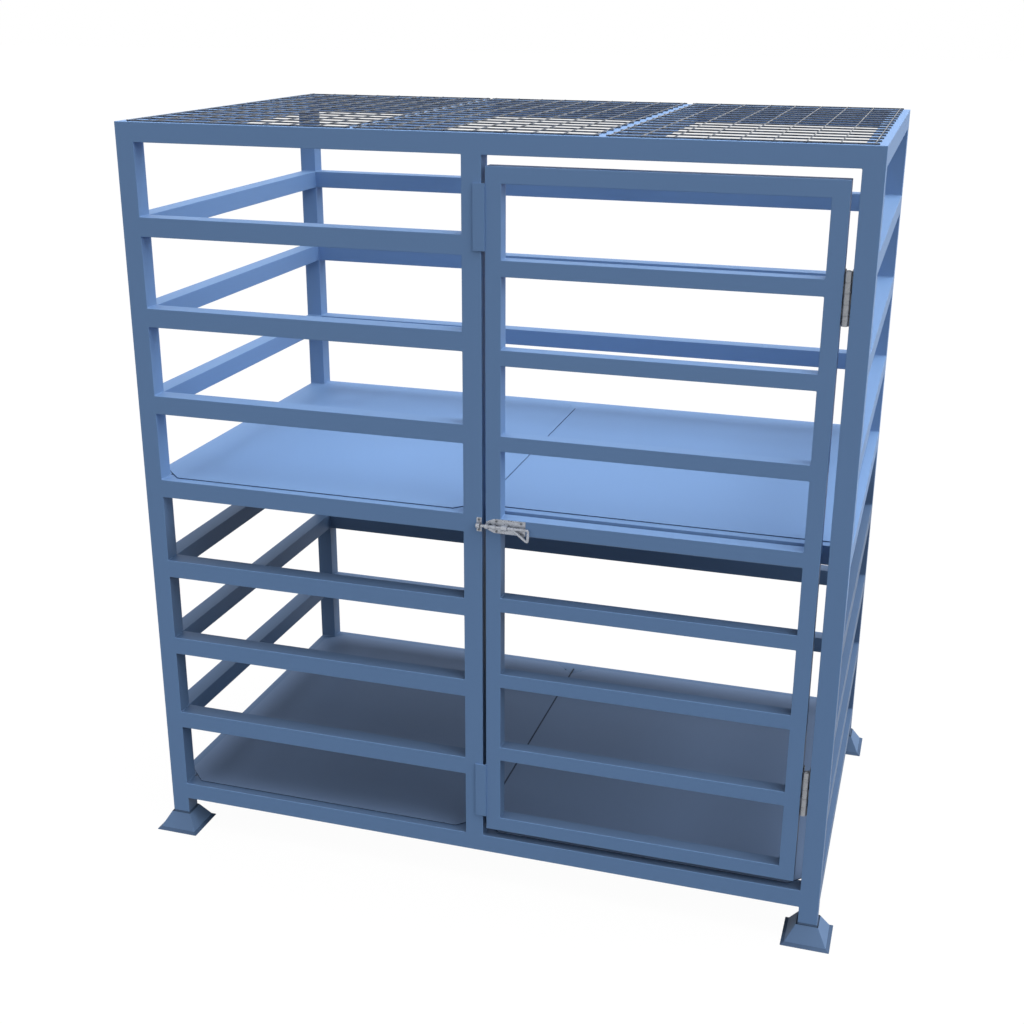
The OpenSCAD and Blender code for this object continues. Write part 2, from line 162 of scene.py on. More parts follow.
FINISH_OUTPUTS = {
    "Color": "NodeSocketColor",
    "Roughness": "NodeSocketFloat",
    "Height": "NodeSocketFloat",
}
CLOUD_SCALE = 2.6
SPECKLE_SCALE = 900.0
PEEL_SCALE = 420.0
PATCH_SCALE = 55.0
SCUFF_SCALE = 700.0


def end_finish(group, end, colour, dullness, shade, rough_shade, height):
    """Puts out a finish: its colour and dullness varied by shades about nought, and its bumps."""
    level = calculate(group, "ADD", (300, 400), shade, 1.0)
    link(group, scale_colour(group, (500, 400), colour, level), end.inputs["Color"])
    rough = calculate(group, "ADD", (500, 150), dullness, rough_shade)
    link(group, rough, end.inputs["Roughness"])
    link(group, height, end.inputs["Height"])


def powder_coat_group():
    """Powder coat: broad cloudiness, faint speckle, and the fine peel of the baked skin."""
    inputs = {"Paint": GREY, "Cloud": 0.05, "Speckle": 0.04, "Dullness": 0.5}
    group, start, end = start_group("powder_coat", inputs, FINISH_OUTPUTS)
    point = add_node(group, "ShaderNodeTexCoord", (-900, 400)).outputs["Object"]
    cloud = add_noise(group, (-600, 500), point, CLOUD_SCALE, detail=3.0)
    speckle = add_noise(group, (-600, 250), point, SPECKLE_SCALE, detail=1.0)
    peel = add_noise(group, (-600, 0), point, PEEL_SCALE, detail=2.0)
    shades = []
    for texture, amount, y in ((cloud, "Cloud", 500), (speckle, "Speckle", 250)):
        centred = calculate(group, "SUBTRACT", (-400, y), texture, 0.5)
        shades.append(calculate(group, "MULTIPLY", (-200, y), centred, start.outputs[amount]))
    shade = calculate(group, "ADD", (0, 400), *shades)
    paint_in, dullness = start.outputs["Paint"], start.outputs["Dullness"]
    end_finish(group, end, paint_in, dullness, shade, shades[0], peel)
    return group


def plated_metal_group():
    """Zinc on steel: the crystals of the plating, dull patches and fine scuffs."""
    inputs = {"Metal": GREY, "Crystal": 0.15, "Crystals Per Metre": 160.0, "Dullness": 0.4}
    group, start, end = start_group("plated_metal", inputs, FINISH_OUTPUTS)
    point = add_node(group, "ShaderNodeTexCoord", (-900, 400)).outputs["Object"]
    crystal = add_node(group, "ShaderNodeTexVoronoi", (-600, 400))
    link(group, point, crystal.inputs["Vector"])
    link(group, start.outputs["Crystals Per Metre"], crystal.inputs["Scale"])
    patch = add_noise(group, (-600, 100), point, PATCH_SCALE, detail=4.0)
    scuff = add_noise(group, (-600, -200), point, SCUFF_SCALE, detail=3.0)
    tone = add_node(group, "ShaderNodeSeparateColor", (-400, 400))
    link(group, crystal.outputs["Color"], tone.inputs["Color"])
    mixed = calculate(group, "ADD", (-200, 300), tone.outputs["Red"], patch)
    centred = calculate(group, "SUBTRACT", (0, 300), mixed, 1.0)
    shade = calculate(group, "MULTIPLY", (150, 300), centred, start.outputs["Crystal"])
    metal_in, dullness = start.outputs["Metal"], start.outputs["Dullness"]
    end_finish(group, end, metal_in, dullness, shade, shade, scuff)
    return group


# Painted shade groups, each laid over an unshaded finish; a loss is the share of colour lost to
# painted shade

SHADE_OUTPUT = {"Color": "NodeSocketColor"}
# Painted shade below the shelf, fading in above it, and painted shade on the posts just above their
# feet
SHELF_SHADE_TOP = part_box("shelf_front_rail")[0].z
SHELF_SHADE_FADE = 180 * MM
SHELF_SHADE_DEPTHS = (0.0, 2 * MM)
SHELF_SHADE_LOSS = 0.48
FOOT_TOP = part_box("foot_front_left")[1].z
FOOT_SHADE_LEVELS = (FOOT_TOP + 5 * MM, FOOT_TOP + 2 * MM)
FOOT_SHADE_LOSS = 0.72
# Painted shade on the plates' cut edges
CUT_EDGE_SHADE_LEVELS = (-0.8 * MM, -0.2 * MM)
CUT_EDGE_SHADE_LOSS = 0.72
# Painted shade on the hinge leaves beside the knuckles
LEAF_SHADE_DISTANCES = (6.9 * MM, 7.5 * MM)
LEAF_SHADE_LOSS = 0.62


def end_shade(group, start, end, loss):
    """Puts out the unshaded colour less the lost share of it."""
    kept = calculate(group, "SUBTRACT", (500, 100), 1.0, loss)
    shaded = scale_colour(group, (700, 100), start.outputs["Unshaded"], kept)
    link(group, shaded, end.inputs["Color"])


def shelf_shade_group():
    """Painted shade below the shelf on all that lies behind the front faces, and painted shade
    where the posts end in their feet.
    """
    inputs = {"Unshaded": GREY, "Front": 0.0}
    group, start, end = start_group("painted_shelf_shade", inputs, SHADE_OUTPUT)
    _, y, z = split_place(group, "Object")
    below = ramp(group, (-600, 800), z, (SHELF_SHADE_TOP, SHELF_SHADE_TOP - SHELF_SHADE_FADE))
    depth = calculate(group, "SUBTRACT", (-800, 600), y, start.outputs["Front"])
    inside = ramp(group, (-600, 600), depth, SHELF_SHADE_DEPTHS)
    at_foot = ramp(group, (-600, 400), z, FOOT_SHADE_LEVELS)
    both = calculate(group, "MULTIPLY", (-300, 700), below, inside)
    under_shelf_shade = calculate(group, "MULTIPLY", (-100, 700), both, SHELF_SHADE_LOSS)
    post_end_shade = calculate(group, "MULTIPLY", (-100, 400), at_foot, FOOT_SHADE_LOSS)
    end_shade(group, start, end, calculate(group, "MAXIMUM", (200, 500), under_shelf_shade, post_end_shade))
    return group


def cut_edge_shade_group():
    """Painted shade on the cut edges of a plate, all round below its top face."""
    inputs = {"Unshaded": GREY, "Top": 0.0}
    group, start, end = start_group("painted_cut_edge_shade", inputs, SHADE_OUTPUT)
    _, _, z = split_place(group, "Object")
    height = calculate(group, "SUBTRACT", (-600, 500), z, start.outputs["Top"])
    on_top = ramp(group, (-400, 500), height, CUT_EDGE_SHADE_LEVELS)
    on_edge = calculate(group, "SUBTRACT", (-100, 500), 1.0, on_top)
    end_shade(group, start, end, calculate(group, "MULTIPLY", (200, 500), on_edge, CUT_EDGE_SHADE_LOSS))
    return group


def hinge_leaf_shade_group():
    """Painted shade on the hinge leaves, to both sides of the knuckles."""
    inputs = {"Unshaded": GREY, "Pin Line": 0.0}
    group, start, end = start_group("painted_hinge_leaf_shade", inputs, SHADE_OUTPUT)
    x, _, _ = split_place(group, "Object")
    aside = calculate(group, "SUBTRACT", (-800, 500), x, start.outputs["Pin Line"])
    away = calculate(group, "ABSOLUTE", (-600, 500), aside)
    on_leaf = ramp(group, (-400, 500), away, LEAF_SHADE_DISTANCES, "LINEAR")
    end_shade(group, start, end, calculate(group, "MULTIPLY", (200, 500), on_leaf, LEAF_SHADE_LOSS))
    return group


# The finishes of the cage

POWDER_COAT = powder_coat_group()
PLATED_METAL = plated_metal_group()
SHELF_SHADE = shelf_shade_group()
CUT_EDGE_SHADE = cut_edge_shade_group()
HINGE_LEAF_SHADE = hinge_leaf_shade_group()

PAINT_SPECKLE = 0.04
PAINT_SPECULAR = 0.24
PEEL_DEPTH = 0.03 * MM
ZINC_SPECULAR = 0.3
SCUFF_DEPTH = 0.05 * MM


def finish_material(name, group, values, metallic, specular, depth):
    """A material whose colour, roughness and bump come from one of the finish groups."""
    material = bpy.data.materials.new(name)
    material.use_nodes = True
    tree = material.node_tree
    shader = tree.nodes["Principled BSDF"]
    shader.inputs["Metallic"].default_value = metallic
    shader.inputs["Specular IOR Level"].default_value = specular
    finish = add_node(tree, "ShaderNodeGroup", (-700, 200), node_tree=group)
    for label, value in values.items():
        finish.inputs[label].default_value = value
    link(tree, finish.outputs["Color"], shader.inputs["Base Color"])
    link(tree, finish.outputs["Roughness"], shader.inputs["Roughness"])
    bump = add_node(tree, "ShaderNodeBump", (-250, -150), Strength=1.0, Distance=depth)
    link(tree, finish.outputs["Height"], bump.inputs["Height"])
    link(tree, bump.outputs["Normal"], shader.inputs["Normal"])
    return material


def paint(name, colour, cloud=0.05, dullness=0.55):
    """Powder coat of one shade."""
    values = {
        "Paint": (*colour, 1.0),
        "Cloud": cloud,
        "Speckle": PAINT_SPECKLE,
        "Dullness": dullness,
    }
    return finish_material(name, POWDER_COAT, values, 0.0, PAINT_SPECULAR, PEEL_DEPTH)


def zinc(name, colour, crystal, per_metre, dullness, metallic):
    """Zinc plating of one shade."""
    values = {
        "Metal": (*colour, 1.0),
        "Crystal": crystal,
        "Crystals Per Metre": per_metre,
        "Dullness": dullness,
    }
    return finish_material(name, PLATED_METAL, values, metallic, ZINC_SPECULAR, SCUFF_DEPTH)


def lay_shade(material, group, label, value):
    """Leads a material's colour through a painted shade group, with the group's one value set."""
    tree = material.node_tree
    colour_in = tree.nodes["Principled BSDF"].inputs["Base Color"]
    shade_node = add_node(tree, "ShaderNodeGroup", (-350, 200), node_tree=group)
    shade_node.inputs[label].default_value = value
    link(tree, colour_in.links[0].from_socket, shade_node.inputs["Unshaded"])
    link(tree, shade_node.outputs["Color"], colour_in)


BLUE = (0.144, 0.260, 0.482)
FRAME_PAINT = paint("frame_paint", BLUE)
DOOR_PAINT = paint("door_paint", BLUE)
SHELF_PAINT = paint("shelf_paint", BLUE, cloud=0.09, dullness=0.6)
# The floor plates' paint is the frame's blue made darker and greyer, as painted shade under the
# shelf
FLOOR_SHADED_PAINT = paint("floor_shaded_paint", (0.108, 0.168, 0.288), cloud=0.14, dullness=0.65)
FOOT_PAINT = paint("foot_paint", (0.090, 0.155, 0.278), cloud=0.12, dullness=0.6)
# The feet's skirts are darkened as painted shade at the ground
SKIRT_SHADE_PAINT = paint("skirt_shade_paint", (0.048, 0.086, 0.160), cloud=0.2, dullness=0.7)
# Near-black paint in the feet's grooves and in the floor plates' joint: painted shade
GAP_SHADE = paint("gap_shade", (0.020, 0.034, 0.062), cloud=0.2, dullness=0.8)
WIRE_ZINC = zinc(
    "wire_zinc", (0.092, 0.106, 0.131), crystal=0.8, per_metre=90.0, dullness=0.34, metallic=0.35
)
LATCH_ZINC = zinc(
    "latch_zinc", (0.40, 0.425, 0.475), crystal=0.35, per_metre=300.0, dullness=0.38, metallic=0.85
)
HINGE_ZINC = zinc(
    "hinge_zinc", (0.29, 0.305, 0.33), crystal=0.25, per_metre=260.0, dullness=0.40, metallic=0.85
)
SCREW_ZINC = zinc(
    "screw_zinc", (0.22, 0.235, 0.26), crystal=0.20, per_metre=300.0, dullness=0.35, metallic=0.85
)
# Near-black in the screws' cross recesses: painted shade
RECESS_SHADE = zinc(
    "recess_shade", (0.02, 0.022, 0.026), crystal=0.10, per_metre=300.0, dullness=0.6, metallic=0.3
)

FRONT_SKIN = 0.5 * MM
pin_low, pin_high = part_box("hinge_upper_pin")
# Painted shade below the shelf on the frame's and the door's paint
lay_shade(FRAME_PAINT, SHELF_SHADE, "Front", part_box("post_front_left")[0].y + FRONT_SKIN)
lay_shade(DOOR_PAINT, SHELF_SHADE, "Front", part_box("door_bottom_rail")[0].y + FRONT_SKIN)
# Painted shade on the cut edges of the shelf and floor plates
lay_shade(SHELF_PAINT, CUT_EDGE_SHADE, "Top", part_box("shelf_plate_left")[1].z)
lay_shade(FLOOR_SHADED_PAINT, CUT_EDGE_SHADE, "Top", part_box("floor_plate_left")[1].z)
# Painted shade on the hinge leaves beside the knuckles
lay_shade(HINGE_ZINC, HINGE_LEAF_SHADE, "Pin Line", (pin_low.x + pin_high.x) / 2)

# Mesh helpers


def unit(axis, sign=1):
    """The direction along an axis, or against it."""
    vector = Vector((0.0, 0.0, 0.0))
    vector[axis] = sign
    return vector


def spread(first, last, count):
    """Evenly spaced places from the first to the last."""
    shares = [i / (count - 1) for i in range(count)]
    return [first * (1 - share) + last * share for share in shares]


def add_piece(name, form, material, body, replaced=(), smooth_angle=35.0):
    """Makes a mesh an object of the cage that rides on a body and stands for CAD nodes."""
    bmesh.ops.recalc_face_normals(form, faces=form.faces)
    mesh = bpy.data.meshes.new(name)
    form.to_mesh(mesh)
    form.free()
    mesh.materials.append(material)
    mesh.shade_smooth()
    mesh.set_sharp_from_angle(angle=math.radians(smooth_angle))
    piece = bpy.data.objects.new(name, mesh)
    bpy.context.scene.collection.objects.link(piece)
    weighted = piece.modifiers.new("weighted_normals", "WEIGHTED_NORMAL")
    weighted.keep_sharp = True
    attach(piece, body)
    if replaced:
        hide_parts(*replaced)
    return piece


def add_rings(form, rings, closed_ends=True):
    """Skins rings of points with quads, and caps the two ends."""
    made = [[form.verts.new(point) for point in ring] for ring in rings]
    count = len(made[0])
    for ring, following in zip(made, made[1:]):
        for i in range(count):
            j = (i + 1) % count
            form.faces.new((ring[i], ring[j], following[j], following[i]))
    if closed_ends:
        form.faces.new(list(reversed(made[0])))
        form.faces.new(made[-1])


def round_ring(centre, side, other, radius, count):
    """Points round a centre, in the plane of two directions at right angles."""
    ring = []
    for i in range(count):
        turn = 2 * math.pi * i / count
        ring.append(centre + (side * math.cos(turn) + other * math.sin(turn)) * radius)
    return ring


def add_turned(form, start, along, profile, count=24):
    """A turned shape round an axis; the profile lists distances along it and radii."""
    start, along = Vector(start), Vector(along).normalized()
    side = along.orthogonal().normalized()
    other = along.cross(side)
    rings = [
        round_ring(start + along * distance, side, other, radius, count)
        for distance, radius in profile
    ]
    add_rings(form, rings)


def add_soft_edges(piece, width, segments=3, angle=40.0):
    """Rounds the edges that turn by more than the angle."""
    bevel = piece.modifiers.new("soft_edges", "BEVEL")
    bevel.width = width
    bevel.segments = segments
    bevel.limit_method = "ANGLE"
    bevel.angle_limit = math.radians(angle)
    bevel.use_clamp_overlap = True


# Square tubes, welded into one skin with soft edges and no lines where faces run on

TUBE_EDGE = 1.0 * MM
NO_SHARP_EDGES = 180.0
SAME_LEVEL = 0.05 * MM
JOINT_SLACK = 0.1 * MM
BARS_IN_GROUP = 7
FOOT_GROOVE = 6 * MM

FRAME_TUBES = [
    *(f"post_{corner}" for corner in CORNERS),
    "centre_post",
    *(f"top_rail_{side}" for side in SIDES),
    *(f"bottom_rail_{side}" for side in SIDES),
    "roof_bearer_left",
    "roof_bearer_right",
    "shelf_front_rail",
    "shelf_bearer",
    "floor_bearer",
    *(f"front_bar_{row}" for row in range(1, BARS_IN_GROUP + 1)),
]
FRAME_BARS = ["back_bars", "left_bars", "right_bars"]
DOOR_TUBES = ["door_hinge_stile", "door_latch_stile", "door_top_rail", "door_bottom_rail"]
DOOR_BARS = "door_bars"


def bar_boxes(node):
    """The boxes of the evenly spaced bars that share one node."""
    low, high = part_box(node)
    depth = min(high.x - low.x, high.y - low.y)
    pitch = (high.z - low.z - depth) / (BARS_IN_GROUP - 1)
    boxes = []
    for row in range(BARS_IN_GROUP):
        bottom = low.z + row * pitch
        boxes.append((Vector((low.x, low.y, bottom)), Vector((high.x, high.y, bottom + depth))))
    return boxes


def post_box(node):
    """The box of a tube; the corner posts reach on down into their feet."""
    low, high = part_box(node)
    if node.startswith("post_"):
        low = Vector((low.x, low.y, low.z - FOOT_GROOVE))
    return low, high


def levels_of(boxes, axis):
    """The sorted levels at which any box starts or ends, with near doubles merged."""
    levels = []
    for level in sorted(corner[axis] for box in boxes for corner in box):
        if not levels or level - levels[-1] > SAME_LEVEL:
            levels.append(level)
    return levels


def welded_skin(boxes):
    """The one outer skin of boxes that touch or overlap, as a clean grid of quads."""
    levels = [levels_of(boxes, axis) for axis in (X, Y, Z)]

    def filled(cell):
        middle = [(levels[a][n] + levels[a][n + 1]) / 2 for a, n in enumerate(cell)]
        return any(
            all(low[a] - JOINT_SLACK < middle[a] < high[a] + JOINT_SLACK for a in (X, Y, Z))
            for low, high in boxes
        )

    solid = {
        (i, j, k)
        for i in range(len(levels[X]) - 1)
        for j in range(len(levels[Y]) - 1)
        for k in range(len(levels[Z]) - 1)
        if filled((i, j, k))
    }
    form = bmesh.new()
    corners = {}

    def corner(index):
        if index not in corners:
            corners[index] = form.verts.new([levels[a][n] for a, n in enumerate(index)])
        return corners[index]

    for cell in solid:
        for axis in (X, Y, Z):
            u, v = [a for a in (X, Y, Z) if a != axis]
            for side in (0, 1):
                beyond = list(cell)
                beyond[axis] += 1 if side else -1
                if tuple(beyond) in solid:
                    continue
                ring = []
                for step_u, step_v in ((0, 0), (1, 0), (1, 1), (0, 1)):
                    index = list(cell)
                    index[axis] += side
                    index[u] += step_u
                    index[v] += step_v
                    ring.append(corner(tuple(index)))
                form.faces.new(ring)
    return form


def make_tubes():
    frame_boxes = [post_box(node) for node in FRAME_TUBES]
    for node in FRAME_BARS:
        frame_boxes += bar_boxes(node)
    door_boxes = [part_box(node) for node in DOOR_TUBES] + bar_boxes(DOOR_BARS)
    for body, boxes, material, replaced in (
        ("frame", frame_boxes, FRAME_PAINT, FRAME_TUBES + FRAME_BARS),
        ("door", door_boxes, DOOR_PAINT, DOOR_TUBES + [DOOR_BARS]),
    ):
        name, form = f"{body}_tubes", welded_skin(boxes)
        skin = add_piece(name, form, material, body, replaced, NO_SHARP_EDGES)
        add_soft_edges(skin, TUBE_EDGE)
        # The rounding has to come before the weighted normals.
        skin.modifiers.move(len(skin.modifiers) - 1, 0)


# Roof mesh

CROSS_WIRE = 4 * MM
LONG_WIRE = 3 * MM
CROSS_WIRES = 16
LONG_WIRES = 9
WIRE_TAIL = 10 * MM
CUT_CHAMFER = 0.3 * MM


def add_wire(form, start, end, diameter):
    """A straight wire with slightly chamfered cut ends."""
    along = Vector(end) - Vector(start)
    radius = diameter / 2
    profile = [
        (0.0, radius - CUT_CHAMFER),
        (CUT_CHAMFER, radius),
        (along.length - CUT_CHAMFER, radius),
        (along.length, radius - CUT_CHAMFER),
    ]
    add_turned(form, start, along, profile, count=12)


def make_mesh_panels():
    for side in ("left", "middle", "right"):
        low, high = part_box(f"mesh_{side}")
        cross_z = low.z + CROSS_WIRE / 2
        long_z = high.z - LONG_WIRE / 2
        form = bmesh.new()
        for y in spread(low.y + WIRE_TAIL, high.y - WIRE_TAIL, CROSS_WIRES):
            add_wire(form, (low.x, y, cross_z), (high.x, y, cross_z), CROSS_WIRE)
        for x in spread(low.x + WIRE_TAIL, high.x - WIRE_TAIL, LONG_WIRES):
            add_wire(form, (x, low.y, long_z), (x, high.y, long_z), LONG_WIRE)
        add_piece(f"roof_mesh_{side}", form, WIRE_ZINC, "frame", (f"mesh_{side}",))


# Weld beads in the inside corners of the joints

BEAD = 2.6 * MM
BEAD_STEP = 3.0 * MM
BEAD_FEWEST_STEPS = 4
BEAD_SINK = 0.3 * MM
BEAD_RIPPLE = 0.14
BEAD_END = 0.55
BEAD_HOLLOW = 0.78
BEAD_ANGLES = (25, 45, 65)
BEAD_SMOOTH = 50.0
UP_AND_DOWN = ((Z, 1), (Z, -1))
LEFT_AND_RIGHT = ((X, 1), (X, -1))


def add_bead(form, start, end, side_a, side_b):
    """A rippled bead along a corner; the sides point away from it along the two surfaces."""
    steps = max(BEAD_FEWEST_STEPS, round((end - start).length / BEAD_STEP))
    rings = []
    for i in range(steps + 1):
        fade = BEAD_END if i in (0, steps) else 1.0
        swell = BEAD * fade * (1.0 - (BEAD_RIPPLE if i % 2 else 0.0))
        centre = start.lerp(end, i / steps)
        ring = [
            centre - (side_a + side_b) * BEAD_SINK,
            centre + side_a * swell - side_b * BEAD_SINK,
        ]
        for angle in BEAD_ANGLES:
            turn = math.radians(angle)
            reach = swell * BEAD_HOLLOW
            ring.append(centre + side_a * reach * math.cos(turn) + side_b * reach * math.sin(turn))
        ring.append(centre + side_b * swell - side_a * BEAD_SINK)
        rings.append(ring)
    add_rings(form, rings)


def add_end_beads(form, low, high, along, faces):
    """Beads across both ends of a tube, on the named faces: (axis, sign) pairs."""
    for end, inward in ((low, 1), (high, -1)):
        for axis, sign in faces:
            across = next(i for i in (X, Y, Z) if i not in (along, axis))
            start, stop = Vector(end), Vector(end)
            start[axis] = stop[axis] = high[axis] if sign > 0 else low[axis]
            start[across] = low[across] + TUBE_EDGE
            stop[across] = high[across] - TUBE_EDGE
            add_bead(form, start, stop, unit(along, inward), unit(axis, sign))


def add_post_bead(form, low, high, z, axis, sign, inset, upward):
    """A level bead along one side of a post, which runs up or down from it."""
    across = Y if axis == X else X
    start, stop = Vector((low.x, low.y, z)), Vector((low.x, low.y, z))
    start[axis] = stop[axis] = high[axis] if sign > 0 else low[axis]
    start[across] = low[across] + inset
    stop[across] = high[across] - inset
    add_bead(form, start, stop, unit(axis, sign), unit(Z, upward))


def make_frame_welds():
    form = bmesh.new()
    for row in range(1, BARS_IN_GROUP + 1):
        add_end_beads(form, *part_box(f"front_bar_{row}"), X, UP_AND_DOWN)
    for node in FRAME_BARS:
        for low, high in bar_boxes(node):
            along = X if high.x - low.x > high.y - low.y else Y
            add_end_beads(form, low, high, along, UP_AND_DOWN)
    for side in SIDES:
        along = X if side in ("front", "back") else Y
        add_end_beads(form, *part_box(f"bottom_rail_{side}"), along, UP_AND_DOWN)
    for side in ("left", "right"):
        add_end_beads(form, *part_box(f"roof_bearer_{side}"), Y, LEFT_AND_RIGHT)
    add_end_beads(form, *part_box("centre_post"), Z, LEFT_AND_RIGHT)
    for corner in CORNERS:
        low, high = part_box(f"post_{corner}")
        inward = {X: 1 if "left" in corner else -1, Y: 1 if "front" in corner else -1}
        for axis in (X, Y):
            add_post_bead(form, low, high, high.z, axis, inward[axis], TUBE_EDGE, -1)
        for axis in (X, Y):
            for sign in (1, -1):
                add_post_bead(form, low, high, low.z, axis, sign, 0.0, 1)
    add_piece("frame_welds", form, FRAME_PAINT, "frame", smooth_angle=BEAD_SMOOTH)


def make_door_welds():
    form = bmesh.new()
    for low, high in bar_boxes(DOOR_BARS):
        add_end_beads(form, low, high, X, UP_AND_DOWN)
    add_piece("door_welds", form, DOOR_PAINT, "door", smooth_angle=BEAD_SMOOTH)


# Painted shade: a near-black strip in the joint between the two floor plates

SEAM_CLEAR = 0.1 * MM
SEAM_DEPTH = 0.3 * MM
SEAM_DIP = 0.25 * MM
SEAM_DIP_STEPS = 3
SEAM_MARGIN = 20 * MM
SEAM_RINGS = 25


def make_seam_shade():
    """A strip in the joint that lies a little lower in some places than in others."""
    left_low, left_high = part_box("floor_plate_left")
    right_low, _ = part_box("floor_plate_right")
    x_left, x_right = left_high.x + SEAM_CLEAR, right_low.x - SEAM_CLEAR
    rings = []
    places = spread(left_low.y + SEAM_MARGIN, left_high.y - SEAM_MARGIN, SEAM_RINGS)
    for i, y in enumerate(places):
        top = left_high.z - SEAM_DEPTH - SEAM_DIP * (i % SEAM_DIP_STEPS)
        ring = [(x_left, y, left_low.z), (x_right, y, left_low.z)]
        ring += [(x_right, y, top), (x_left, y, top)]
        rings.append(ring)
    form = bmesh.new()
    add_rings(form, rings)
    add_piece("floor_seam_shade", form, GAP_SHADE, "frame")


# Feet: a shell, a groove with its rim round the post in near-black painted shade, and a skirt at
# the ground darkened as painted shade

FOOT_WALL = 5 * MM
FOOT_CORNER = 1.2 * MM
KNEE_HALF = 54.5 * MM
KNEE_HEIGHT = 7 * MM
RIM_OUTER = 29.4 * MM
RIM_CREST = 28.8 * MM
RIM_INNER = 28.2 * MM
RIM_ROUND = 0.6 * MM
GROOVE_HALF = 28 * MM
GROOVE_WALL = 3 * MM
POST_OVERLAP = 1.0 * MM
GROUND_ROUND = 0.5 * MM


def square_ring(centre, half, z):
    """A level square with each corner cut once."""
    ring = []
    cut = half - FOOT_CORNER
    for sx, sy, first in ((1, 1, X), (-1, 1, Y), (-1, -1, X), (1, -1, Y)):
        along_x = (centre.x + sx * cut, centre.y + sy * half, z)
        along_y = (centre.x + sx * half, centre.y + sy * cut, z)
        ring += [along_y, along_x] if first == X else [along_x, along_y]
    return ring


def add_square_skin(form, centre, profile):
    """An open skin of level squares; the profile lists half widths and heights."""
    rings = [square_ring(centre, half, z) for half, z in profile]
    add_rings(form, rings, closed_ends=False)


def make_foot(corner):
    low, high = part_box(f"foot_{corner}")
    post_low, post_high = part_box(f"post_{corner}")
    centre = (low + high) / 2
    ground = (high.x - low.x) / 2
    in_post = (post_high.x - post_low.x) / 2 - POST_OVERLAP
    groove_floor = high.z - FOOT_GROOVE
    knee = (KNEE_HALF, KNEE_HEIGHT)
    knee_inside = (KNEE_HALF - FOOT_WALL, KNEE_HEIGHT)
    rim_edge = (RIM_OUTER, high.z - RIM_ROUND)

    shell = bmesh.new()
    add_square_skin(shell, centre, [knee, rim_edge])
    add_square_skin(shell, centre, [knee_inside, (in_post, groove_floor - GROOVE_WALL)])
    replaced = (f"foot_{corner}",)
    add_piece(f"foot_shell_{corner}", shell, FOOT_PAINT, "frame", replaced)

    gap = bmesh.new()
    rim = [rim_edge, (RIM_CREST, high.z), (RIM_INNER, high.z - RIM_ROUND)]
    add_square_skin(gap, centre, rim + [(GROOVE_HALF, groove_floor), (in_post, groove_floor)])
    add_piece(f"foot_gap_{corner}", gap, GAP_SHADE, "frame")

    skirt = bmesh.new()
    hem = [(ground - FOOT_WALL, 0.0), (ground - GROUND_ROUND, 0.0), (ground, GROUND_ROUND)]
    add_square_skin(skirt, centre, [knee_inside] + hem + [knee])
    add_piece(f"foot_skirt_{corner}", skirt, SKIRT_SHADE_PAINT, "frame")


def make_feet():
    for corner in CORNERS:
        make_foot(corner)


# Hinge pins with a domed head; the dome's sizes are shares of the head

PIN_RADIUS = 4 * MM
PIN_CHAMFER = 0.5 * MM
PIN_HEAD = 2.5 * MM
PIN_HEAD_ROUND = 0.2 * MM
DOME_START = 0.25
DOME_FLAT = 0.35
DOME_TIP = 0.3
DOME_ANGLES = (0, 15, 35, 55, 75)


def make_hinge_pins():
    for place in ("upper", "lower"):
        low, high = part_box(f"hinge_{place}_pin")
        head = (high.x - low.x) / 2
        height = high.z - low.z
        neck = height - PIN_HEAD
        profile = [(0.0, PIN_RADIUS - PIN_CHAMFER), (PIN_CHAMFER, PIN_RADIUS)]
        profile += [(neck, PIN_RADIUS), (neck, head - PIN_HEAD_ROUND)]
        for angle in DOME_ANGLES:
            turn = math.radians(angle)
            rise = DOME_START + (1 - DOME_START) * math.sin(turn)
            width = DOME_FLAT + (1 - DOME_FLAT) * math.cos(turn)
            profile.append((neck + PIN_HEAD * rise, head * width))
        profile.append((height, head * DOME_TIP))
        start = Vector(((low.x + high.x) / 2, (low.y + high.y) / 2, low.z))
        form = bmesh.new()
        add_turned(form, start, (0, 0, 1), profile)
        add_piece(f"pin_{place}", form, HINGE_ZINC, "frame", (f"hinge_{place}_pin",))


# Screws of the latch plate and the keeper, driven in from the front

SCREW_HEAD = 3.75 * MM
SCREW_HEAD_DEPTH = 2 * MM
SCREW_CROWN = 1.3 * MM
SCREW_SHANK = 2 * MM
SCREW_TIP = 1.6 * MM
CROWN_ANGLES = (20, 40, 60)
RECESS_LONG = 2.1 * MM
RECESS_NARROW = 0.42 * MM
RECESS_PROUD = 0.02 * MM
RECESS_DEPTH = 0.5 * MM
RECESS_TAPER = 0.6


def add_screw(form, x, y_front, z, length):
    """A screw driven towards +Y: its shank and its domed head."""
    profile = [(length, SCREW_TIP), (SCREW_HEAD_DEPTH, SCREW_SHANK)]
    profile += [(SCREW_HEAD_DEPTH, SCREW_HEAD), (SCREW_CROWN, SCREW_HEAD)]
    for angle in CROWN_ANGLES:
        turn = math.radians(angle)
        profile.append((SCREW_CROWN * (1 - math.sin(turn)), SCREW_HEAD * math.cos(turn)))
    add_turned(form, (x, y_front, z), (0, 1, 0), profile)


def add_recess(form, x, y_front, z):
    """The cross in a screw's head, as two tapered slots, near-black as painted shade in the recess.
    """
    for wide, tall in ((RECESS_LONG, RECESS_NARROW), (RECESS_NARROW, RECESS_LONG)):
        rings = []
        for y, share in ((y_front - RECESS_PROUD, 1.0), (y_front + RECESS_DEPTH, RECESS_TAPER)):
            half_x, half_z = wide * share, tall * share
            ring = [(x - half_x, y, z - half_z), (x + half_x, y, z - half_z)]
            ring += [(x + half_x, y, z + half_z), (x - half_x, y, z + half_z)]
            rings.append(ring)
        add_rings(form, rings)


